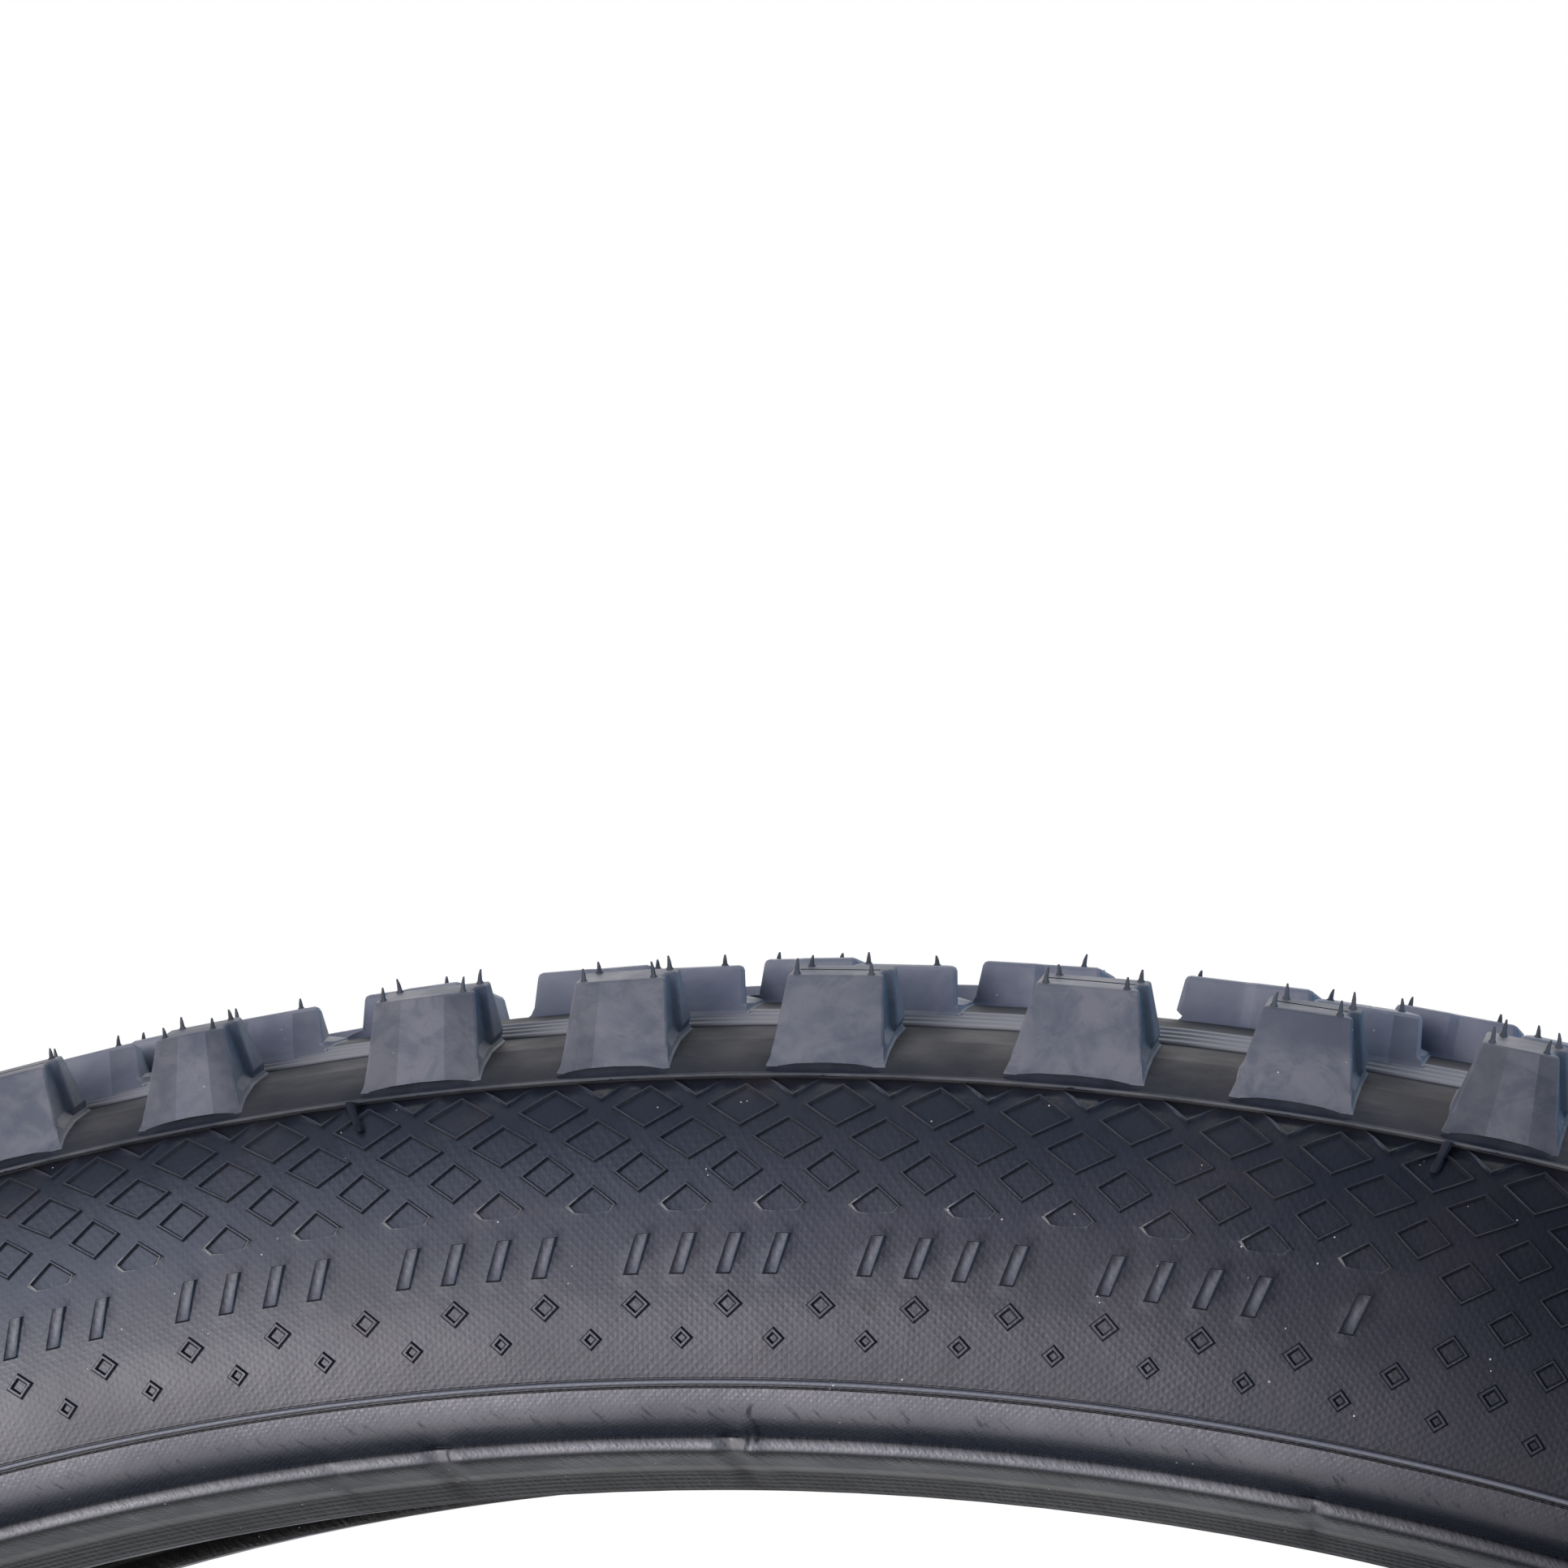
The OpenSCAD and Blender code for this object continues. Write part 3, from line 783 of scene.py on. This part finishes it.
# Facets of those faces, from the left, that get painted shade, the darker copy of the knob rubber
SHADED_FACETS = [(0, 2), (0, 2), (0,), (), (), ()]
FLOOR_SLOT, SHADED_SLOT = 2, 3
HAS_TRANSITION = [0, 2, 3, 5]
TRANSITION_STEP = 0.2 * PITCH
CENTRE_STEP = -0.35 * PITCH
# Some centre knobs start later at their left end
CENTRE_CUT = [0, 1.4, 0, 2.3, 0, -0.8]

# Rubber surface between the knobs, from the mid plane to the lip: rise over the casing's crown, and
# distance from the mid plane. Fine lines run along the pale band.
FLOOR = [(3, 0), (2.9, 6), (2.5, 10), (1.45, 15), (1.25, 16)]
FLOOR_LINES = 3
for i in range(FLOOR_LINES):
    start = 16.3 + 3.6 * i / FLOOR_LINES
    for along, rise in ((0, 0), (0.15, 0.16), (0.5, 0.16), (0.65, 0)):
        FLOOR.append((1.25 - 0.41 * (start + along - 16) + rise, start + along))
FLOOR += [(-0.4, 20), (-0.8, 20.25), (-2.6, 26), (-4.1, 29), (-5.15, 30.5), (-5.9, 31.3), (-6.35, 31.75),
          (-6.42, LIP_A - 0.2), (-6.48, LIP_A - 0.05), (-6.6, LIP_A), (-6.76, LIP_A - 0.08)]
FLOOR = np.array(FLOOR) + (CASING_TOP, 0)
FLOOR_STEPS = 240
SHOULDER_CORNERS = ((BEAD_R + 50.3, 27.6), (BEAD_R + 51.8, 23.0), 30.9, 21.2)
TRANSITION_CORNERS = ((BEAD_R + 52.7, 15.0), (BEAD_R + 53.3, 9.6), 17.5, 9.0)
CENTRE_CORNERS = ((BEAD_R + 54.1, 8.0), (BEAD_R + 54.1, -8.0), 8.7, -8.7)


# Levels of a knob's outline: share of its height, outward flare, depth under the floor, share of the notches
BLOCK_LEVELS = [(0, 0.3, 0.35, 0), (0, 0.24, 0, 0), (0.03, 0.08, 0, 0), (0.08, 0, 0, 0), (0.2, 0, 0, 1),
                (1, 0, 0, 1)]


def floor_r(a):
    return np.interp(np.abs(a), FLOOR[:, 1], FLOOR[:, 0])


class Block:
    """Knob between four corners of its section: outer top, inner top, outer foot and inner foot.

    Its plan is a loop of (x, q, bulge, notch): x is the share of half the width, q goes from 0 at the outer
    face to 1 at the inner one, bulge moves the point outwards and notch along the ring, in mm.
    """

    def __init__(self, corners, top_w, foot_w, plan, shaded=()):
        """Shaded lists the upright facets that get painted shade, counted from the left one of the outer
        face.
        """
        self.top_outer, self.top_inner, self.foot_outer_a, self.foot_inner_a = corners
        self.top_w, self.foot_w, self.plan, self.shaded = top_w, foot_w, plan, shaded

    def point(self, x, q, bulge, t, flare, sink=0.0):
        """Point of the outline at height share t. X is a share of half the width and a shift in mm."""
        foot_a = self.foot_outer_a + q * (self.foot_inner_a - self.foot_outer_a)
        top_r, top_a = (o + q * (i - o) for o, i in zip(self.top_outer, self.top_inner))
        half = (self.foot_w + t * (self.top_w - self.foot_w)) / 2
        spread = bulge + flare * (1 - 2 * q)
        a = foot_a + t * (top_a - foot_a) + spread
        r = floor_r(foot_a + spread) * (1 - t) + t * top_r - sink
        return x[0] * (half + flare) + x[1], a, r

    def mesh(self, bevel):
        """Blender mesh in local millimetres: x along the ring, y = a, z = r."""
        bm = bmesh.new()
        loops = []
        for t, flare, sink, cut in BLOCK_LEVELS:
            loop = []
            for x, q, bulge, notch in self.plan:
                place = self.point((x, notch * cut), q, bulge * min(1, 0.6 + t), t, flare, sink)
                loop.append(bm.verts.new(place))
            loops.append(loop)
        count = len(self.plan)
        for lower, upper in zip(loops, loops[1:]):
            for i in range(count):
                k = (i + 1) % count
                face = bm.faces.new((lower[i], lower[k], upper[k], upper[i]))
                face.material_index = SHADED_SLOT if i in self.shaded else 0
        bm.faces.new(loops[-1])
        middle = bm.verts.new(self.point((0, 0), 0.5, 0, 0, 0, 0.35))
        for i in range(count):
            bm.faces.new((loops[0][(i + 1) % count], loops[0][i], middle))
        bmesh.ops.recalc_face_normals(bm, faces=bm.faces)
        lifted = set(loops[-1]) | set(loops[-2])
        edges = [e for e in bm.edges if set(e.verts) <= lifted and e.calc_face_angle(0) > math.radians(24)
                 and not set(e.verts) <= set(loops[-2])]
        bmesh.ops.bevel(bm, geom=edges, offset=bevel, segments=2, profile=0.5, affect="EDGES",
                        clamp_overlap=True)
        bmesh.ops.triangulate(bm, faces=[f for f in bm.faces if len(f.verts) > 4])
        return bm


def front(creases):
    """Outer face of a plan, from left to right, with two upright creases."""
    (left, right), (bulge_left, bulge_right) = creases
    return [(-1, 0, 0, 0), (2 * left - 1, 0, bulge_left, 0), (2 * right - 1, 0, bulge_right, 0), (1, 0, 0, 0)]


def shoulder_block(kind):
    """Its right flank is set back behind the front corner, and steps out again before the inner face."""
    plan = front(SHOULDER_CREASES[kind])
    plan += [(1, 0.12, 0, -0.1), (1, 0.2, 0, -0.6), (1, 0.5, 0, -0.5), (1, 0.58, 0, 0.45), (1, 1, 0, 0.4),
             (-1, 1, 0, 0), (-1, 0.5, 0, 0)]
    widths = SHOULDER_TOP_W[kind], SHOULDER_FOOT_W[kind]
    return Block(SHOULDER_CORNERS, *widths, plan, SHADED_FACETS[kind])


def transition_block(kind):
    panelled = kind in (0, 5)
    creases = ((0.3, 0.74), (0.6, 0.6)) if panelled else ((0.3, 0.7), (0.1, 0.1))
    plan = front(creases) + [(1, 0.5, 0, -0.8), (1, 1, 0, -1.7), (-1, 1, 0, 0.6), (-1, 0.5, 0, 0.2)]
    return Block(TRANSITION_CORNERS, 11, 12.2, plan, (0, 2) if panelled else ())


def centre_block(kind):
    """The outer faces are stepped in the middle, on both sides of the mid plane."""
    step, cut = 0.5 if kind % 2 else -0.4, CENTRE_CUT[kind]
    plan = [(-1, 0, 0, cut), (-0.1, 0, 0, 0), (0.05, 0, step, 0), (1, 0, step, 0), (1, 0.5, 0, 0.4),
            (1, 1, -step, 0), (0.05, 1, -step, 0), (-0.1, 1, 0, 0), (-1, 1, 0, cut), (-1, 0.5, 0, cut + 0.4)]
    return Block(CENTRE_CORNERS, 12.2, 13.4, plan)


def groove(width, depth, length, top_r, a, turned=False, slope=0.0):
    """Closed wedge-ended box that cuts a sipe into a knob's top. Turned sipes run across the tire."""
    bm = bmesh.new()
    bmesh.ops.create_cube(bm, size=1)
    size = (width, length) if turned else (length, width)
    for v in bm.verts:
        narrow = 0.6 if v.co.z < 0 else 1
        v.co = (v.co.x * size[0] * (narrow if turned else 1), v.co.y * size[1] * (1 if turned else narrow),
                v.co.z * 2 * depth)
        v.co.z -= slope * v.co.y
        v.co.y += a
        v.co.z += top_r
    return bm


def scallop(kind):
    """Shallow hollow in the rubber under the front foot of a shoulder knob."""
    bm = bmesh.new()
    bmesh.ops.create_uvsphere(bm, u_segments=12, v_segments=6, radius=1)
    tilt = math.radians(52)
    for v in bm.verts:
        along, deep = v.co.y * 0.95, v.co.z * 0.42
        a = 31.55 + along * math.cos(tilt) + deep * math.sin(tilt)
        r = floor_r(31.55) - along * math.sin(tilt) + deep * math.cos(tilt)
        v.co = (v.co.x * SHOULDER_FOOT_W[kind] * 0.54, a, r)
    return bm


def no_meshes():
    """Lists for gather to fill."""
    return {"verts": [], "faces": [], "slots": []}


def gather(target, source, angle, side, slot):
    """Adds a local mesh at an angle on the ring to target's lists, on the right side (1) or left side (-1).

    Slot is added to the slots of its faces.
    """
    first = len(target["verts"])
    t = math.radians(angle)
    for v in source.verts:
        x, a, r = v.co
        target["verts"].append(((x * math.cos(t) + r * math.sin(t)) * MM, -side * a * MM,
                                (r * math.cos(t) - x * math.sin(t)) * MM))
    source.verts.index_update()
    for f in source.faces:
        target["faces"].append([first + v.index for v in f.verts])
        target["slots"].append(f.material_index + slot)


def knob_angle(repeat, kind):
    return FIRST_KNOB + (repeat * len(KNOB_LATE) + kind + KNOB_LATE[kind]) * PITCH


def tread_piece():
    knobs, cuts = no_meshes(), no_meshes()
    for kind in range(len(KNOB_LATE)):
        shoulder, centre = shoulder_block(kind).mesh(0.3), centre_block(kind).mesh(0.5)
        # The scallops and sipes are cut with slot 1, the dark recess rubber, as painted shade
        hollow = scallop(kind)
        sipe = groove(0.5, 0.7, SHOULDER_TOP_W[kind] - 1.6, BEAD_R + 51.1, 25.2, slope=0.33)
        middle = groove(1.3, 2.2, 16, BEAD_R + 54.1, 0)
        cross = groove(0.9, 2.4, 9, BEAD_R + 54.1, 0, turned=True)
        transition = transition_block(kind).mesh(0.5) if kind in HAS_TRANSITION else None
        notch = groove(0.6, 1.8, 3.2, BEAD_R + 53.2, 11.6, turned=True)
        for repeat in range(REPEATS):
            angle = knob_angle(repeat, kind)
            for side in (1, -1):
                gather(knobs, shoulder, angle, side, 0)
                gather(cuts, hollow, angle, side, 1)
                if kind >= 3:
                    gather(cuts, sipe, angle, side, 1)
                if transition:
                    gather(knobs, transition, angle + TRANSITION_STEP, side, 0)
                    gather(cuts, notch, angle + TRANSITION_STEP, side, 1)
            gather(knobs, centre, angle + CENTRE_STEP, 1, 0)
            gather(cuts, middle if kind % 2 else cross, angle + CENTRE_STEP, 1, 1)

    under = [on_outline(r) for r in np.linspace(LIP_R, CASING_TOP, 9)]
    under = [(r, a) for r, a in under if a > 1]
    half = list(map(tuple, FLOOR)) + under
    profile = half + [(CASING_TOP, 0)] + [(r, -a) for r, a in reversed(half) if a > 0]
    band_verts, band_faces = sweep(profile, even_angles(FLOOR_STEPS))
    materials = [TREAD_RUBBER, RECESS_RUBBER, FLOOR_RUBBER, SHADED_RUBBER]
    floor_slots = [FLOOR_SLOT] * len(band_faces)
    piece = new_piece("knobbly_tread", band_verts, band_faces, materials, face_slots=floor_slots)
    for parts, operation in ((knobs, "UNION"), (cuts, "DIFFERENCE")):
        other = new_piece("other", parts["verts"], parts["faces"], materials, face_slots=parts["slots"])
        combine(piece, other, operation)
    piece.data = in_fixed_order(piece.data)
    tidy_mesh(piece.data, 9)
    weigh_normals(piece)
    stand_in(piece, "tread")


tread_piece()

# ---- Beads ----

CHAFER_STEPS = 300
# Angles of small creases where the folded bead was bent, and their depth in mm. The first ones are near the
# top, after the photographed bead.
CREASES = [(-5.35, 1.3), (-4.9, -0.5), (-5.0, 0.4), (0.1, -0.4), (0.3, 1.2), (0.8, -0.6), (11.1, 0.9),
           (-7.4, 0.5)]
CREASES += [(round(random.uniform(20, 340), 1), random.uniform(0.3, 0.7)) for _ in range(12)]
CREASE_WIDTH = 0.2
# Extra sections at each crease, in crease widths from its middle
CREASE_SECTIONS = (-2.4, -1.6, -1.1, -0.7, -0.35, 0, 0.35, 0.7, 1.1, 1.6, 2.4)


def bead_angles():
    """Even steps around the ring, with closer ones at the creases."""
    angles = list(even_angles(CHAFER_STEPS))
    for at, _ in CREASES:
        angles += [(at + CREASE_WIDTH * step) % 360 for step in CREASE_SECTIONS]
    return np.unique(np.round(angles, 3))


def bead_shift(angle, profile):
    """Creases across the heel and base. The bore stays true."""
    near = np.exp(-(((profile[:, 0] - BEAD_R - 3.6) / 1.9) ** 2))
    near *= profile[:, 0] > BEAD_R + 0.5
    shift = np.zeros_like(profile)
    for at, depth in CREASES:
        distance = (angle - at + 180) % 360 - 180
        wave = depth * math.exp(-((distance / CREASE_WIDTH) ** 2))
        shift[:, 1] -= near * wave
        shift[:, 0] += near * wave * 0.3
    return shift


def chafer(name, side):
    """Rubberised fabric strip from the rim line around the heel and base to the solid toe at the bore."""
    outer = smooth_line([RIM_LINE, *CHEEK, *HEEL])
    # Fine ribs along the base
    start, end = np.array(HEEL[-1]), np.array((BEAD_R, BORE_OUTER_A))
    along = (end - start) / np.linalg.norm(end - start)
    away = np.array([along[1], -along[0]])
    ribs = []
    for i in range(1, 25):
        ribs.append(start + (end - start) * i / 25 + away * 0.04 * math.sin(i * math.pi / 2.5))
    toe = [(BEAD_R, BORE_OUTER_A), (BEAD_R, TOE_A), (BEAD_R + 0.5, TOE_A - 0.1), (BEAD_R + 2.4, TOE_A + 0.9),
           TOE_INNER]
    face = np.concatenate([outer, ribs])
    back = offset_line(face, SKIN_T)
    verts, faces = sweep(np.concatenate([face, toe, back[::-1]]), bead_angles(), bead_shift, side)
    piece = new_piece("fabric_" + name, verts, faces, [CHAFER_FABRIC], 50)
    stand_in(piece, name)


chafer("chafer_right", 1)
chafer("chafer_left", -1)

# ---- Inner liner ----

LINER_STEPS = 360


def liner():
    """Airtight layer from bead to bead, with the fine ribs that the mould's bladder leaves."""
    half = np.concatenate([points[::12] - WALL_T * normals[::12] for points, normals in OUTLINE_PARTS])
    half = np.concatenate([half, smooth_line([RIM_LINE - WALL_T * NORMALS[-1], *BEAD_INNER])])
    half = half[half[:, 1] > 0.2]
    inner = np.concatenate([half[::-1], half * (1, -1)])
    outer = offset_line(inner, LINER_T)
    profile = np.concatenate([inner, outer[::-1]])
    inward = np.concatenate([inner - outer, np.zeros_like(outer)]) / LINER_T

    def ribs(angle, section):
        return inward * (0.12 if round(angle) % 6 == 0 else 0)

    verts, faces = sweep(profile, even_angles(LINER_STEPS), ribs)
    piece = new_piece("airtight_liner", verts, faces, [liner_rubber()], 60)
    stand_in(piece, "inner_liner")


liner()

# ---- Vent whiskers ----

WHISKER_L = 1.35
WHISKER_SIDES = 6
# Angle of each nub at the tread's edge, and how far its end bends sideways in mm
EDGE_NUBS = [(-6.5, 1.3), (12.2, -0.7)]


def add_rod(hairs, angle, side, slot, places):
    """Adds a closed rod through places given as ((x, a, r), radius)."""
    bm = bmesh.new()
    loops = []
    for (x, a, r), radius in places:
        loops.append([bm.verts.new((x + radius * math.cos(turn), a + radius * math.sin(turn), r))
                      for turn in np.linspace(0, 2 * math.pi, WHISKER_SIDES, endpoint=False)])
    for lower, upper in zip(loops, loops[1:]):
        for i in range(WHISKER_SIDES):
            k = (i + 1) % WHISKER_SIDES
            bm.faces.new((lower[i], lower[k], upper[k], upper[i]))
    bm.faces.new(loops[0][::-1])
    bm.faces.new(loops[-1])
    gather(hairs, bm, angle, side, slot)
    bm.free()


def whisker(hairs, angle, side, x, r, a, lean, length):
    """Tapered hair that stands on a knob at (x, a, r), flared at its foot and bent a little at its tip."""
    bend = math.sin(random.uniform(-0.16, 0.16))
    places = []
    for share, radius in ((-0.2, 0.46), (0.04, 0.4), (0.2, 0.25), (0.6, 0.19), (1, 0.09)):
        centre = (x + bend * share * share * length, a + lean * share * length, r + share * length)
        places.append((centre, radius))
    add_rod(hairs, angle, side, 0, places)


def edge_nub(hairs, angle, bend):
    """Thick flash of rubber that hangs from the tread's edge over the right sidewall."""
    places = []
    for share, radius in ((-0.1, 0.4), (0.1, 0.46), (0.45, 0.36), (0.75, 0.5), (0.95, 0.42), (1, 0.15)):
        places.append(((bend * share, TREAD_A + 0.2 + 1.5 * share, LIP_R - 3.0 * share), radius))
    add_rod(hairs, angle, 1, 1, places)


def whiskers():
    hairs = no_meshes()
    for repeat in range(REPEATS):
        for kind in range(len(KNOB_LATE)):
            angle = knob_angle(repeat, kind)
            w = SHOULDER_TOP_W[kind]
            for side in (1, -1):
                spots = ((0.9 - w / 2, 0.08), (w / 2 - 1.3, 0.08), (1.6 - w / 2, 0.85), (w / 2 - 0.5, 0.85))
                for x, q in spots:
                    r, a = (o + q * (i - o) for o, i in zip(*SHOULDER_CORNERS[:2]))
                    if random.random() < 0.9:
                        whisker(hairs, angle, side, x, r, a, 0.1, WHISKER_L * random.uniform(0.75, 1.2))
                if kind in HAS_TRANSITION:
                    for x in (-3.9, 3.2):
                        whisker(hairs, angle + TRANSITION_STEP, side, x, BEAD_R + 52.8, 14.2, 0.05,
                                WHISKER_L * random.uniform(0.7, 1.1))
                for x in (CENTRE_CUT[kind] - 4.8, 4.2):
                    if random.random() < 0.6:
                        whisker(hairs, angle + CENTRE_STEP, side, x, BEAD_R + 54.0, 6.8, 0,
                                WHISKER_L * random.uniform(0.5, 1.1))
    for angle, bend in EDGE_NUBS:
        edge_nub(hairs, angle, bend)
    piece = new_piece("mould_whiskers", hairs["verts"], hairs["faces"], [WHISKER_RUBBER, RECESS_RUBBER], 50,
                      hairs["slots"])
    stand_in(piece, "vent_whiskers")


whiskers()

# ---- Layers inside the wall, which keep their CAD shape ----

LAYERS = [
    (base_rubber(), ["undertread", "bead_filler_right", "bead_filler_left"]),
    (cord_bundle(), ["bead_core_right", "bead_core_left"]),
    (woven("casing_fabric", (0.03, 0.028, 0.025), (0.13, 0.115, 0.1), 0.9, 0.7),
     ["casing_outer_ply", "casing_inner_ply"]),
    (woven("belt_fabric", (0.2, 0.17, 0.08), (0.58, 0.52, 0.33), 0.8, 0.75), ["puncture_belt"]),
]
for material, nodes in LAYERS:
    for node in nodes:
        layer = frame["nodes"][node]
        layer.data.materials.clear()
        layer.data.materials.append(material)

# ---- Studio ----


def plain_floor():
    """Pale disc under the tire."""
    bm = bmesh.new()
    bmesh.ops.create_circle(bm, cap_ends=True, segments=96, radius=3.0)
    mesh = bpy.data.meshes.new("floor")
    bm.to_mesh(mesh)
    bm.free()
    floor = bpy.data.objects.new("floor", mesh)
    floor.location = (0, 0, cad_bounds[0][2] - 0.0005)
    bpy.context.scene.collection.objects.link(floor)
    s = Shader("floor")
    color = s.mix(s.noise(3, 2), (0.82, 0.79, 0.74), (0.85, 0.82, 0.77))
    mesh.materials.append(s.finish(color, 0.9))


def lobe(s, view, heading, height, inner, outer):
    """1 within the inner angle of a direction, fading to 0 at the outer angle."""
    turn, rise = math.radians(heading), math.radians(height)
    unit = (math.sin(turn) * math.cos(rise), -math.cos(turn) * math.cos(rise), math.sin(rise))
    cosine = s.add("ShaderNodeVectorMath", "Value", {0: view, 1: unit}, operation="DOT_PRODUCT")
    return s.ramp(cosine, math.cos(math.radians(outer)), math.cos(math.radians(inner)))


def studio():
    """White surroundings for the camera. Soft lights stand in front on the left, at the right and behind."""
    s = Shader("studio", "worlds")
    bpy.context.scene.world = s.owner
    view = s.add("ShaderNodeTexCoord", "Generated")
    color = AMBIENT
    for heading, height, inner, outer, light in SOFT_LIGHTS:
        share = lobe(s, view, heading, height, inner, outer)
        glow = s.add("ShaderNodeVectorMath", 0, {0: light, "Scale": share}, operation="SCALE")
        color = s.add("ShaderNodeVectorMath", 0, {0: color, 1: glow}, operation="ADD")
    seen = s.add("ShaderNodeLightPath", "Is Camera Ray")
    color = s.mix(seen, color, (1, 1, 1))
    s.show("ShaderNodeOutputWorld", s.add("ShaderNodeBackground", inputs={"Color": color}))


AMBIENT = (0.02, 0.022, 0.028)
# Heading and height of each light in degrees, from the front of the right side, then the inner and outer
# angle of its soft edge, and its colour
SOFT_LIGHTS = [
    (-36, -6, 5, 20, (10.5, 10.2, 9.6)),
    (-19, -6, 5, 20, (4.4, 4.1, 4.8)),
    (-45, 25, 8, 26, (2.0, 2.2, 2.7)),
    (-20, 25, 8, 26, (1.1, 1.1, 1.5)),
    (-24, 10, 5, 18, (1.7, 1.65, 1.75)),
    (-35, 58, 12, 38, (0.25, 0.35, 0.5)),
    (-50, -38, 10, 32, (0.9, 0.8, 0.75)),
    (100, 5, 20, 45, (0.9, 1.7, 2.8)),
    (180, 50, 18, 45, (2.3, 2.25, 2.25)),
    (180, -25, 20, 60, (0.35, 0.35, 0.35)),
]


def photo_camera():
    """Camera low in front of the right side, looking slightly up at the top of the tire."""
    data = bpy.data.cameras.new("camera")
    data.lens = 92.675
    data.sensor_width = 36
    data.clip_start = 0.01
    camera = bpy.data.objects.new("camera", data)
    camera.location = (0.0907, -0.4156, 0.3005)
    camera.rotation_euler = (math.radians(90 + 8.71), 0, math.radians(12.387))
    bpy.context.scene.collection.objects.link(camera)
    bpy.context.scene.camera = camera


plain_floor()
studio()
photo_camera()
bpy.context.scene.view_settings.view_transform = "Standard"
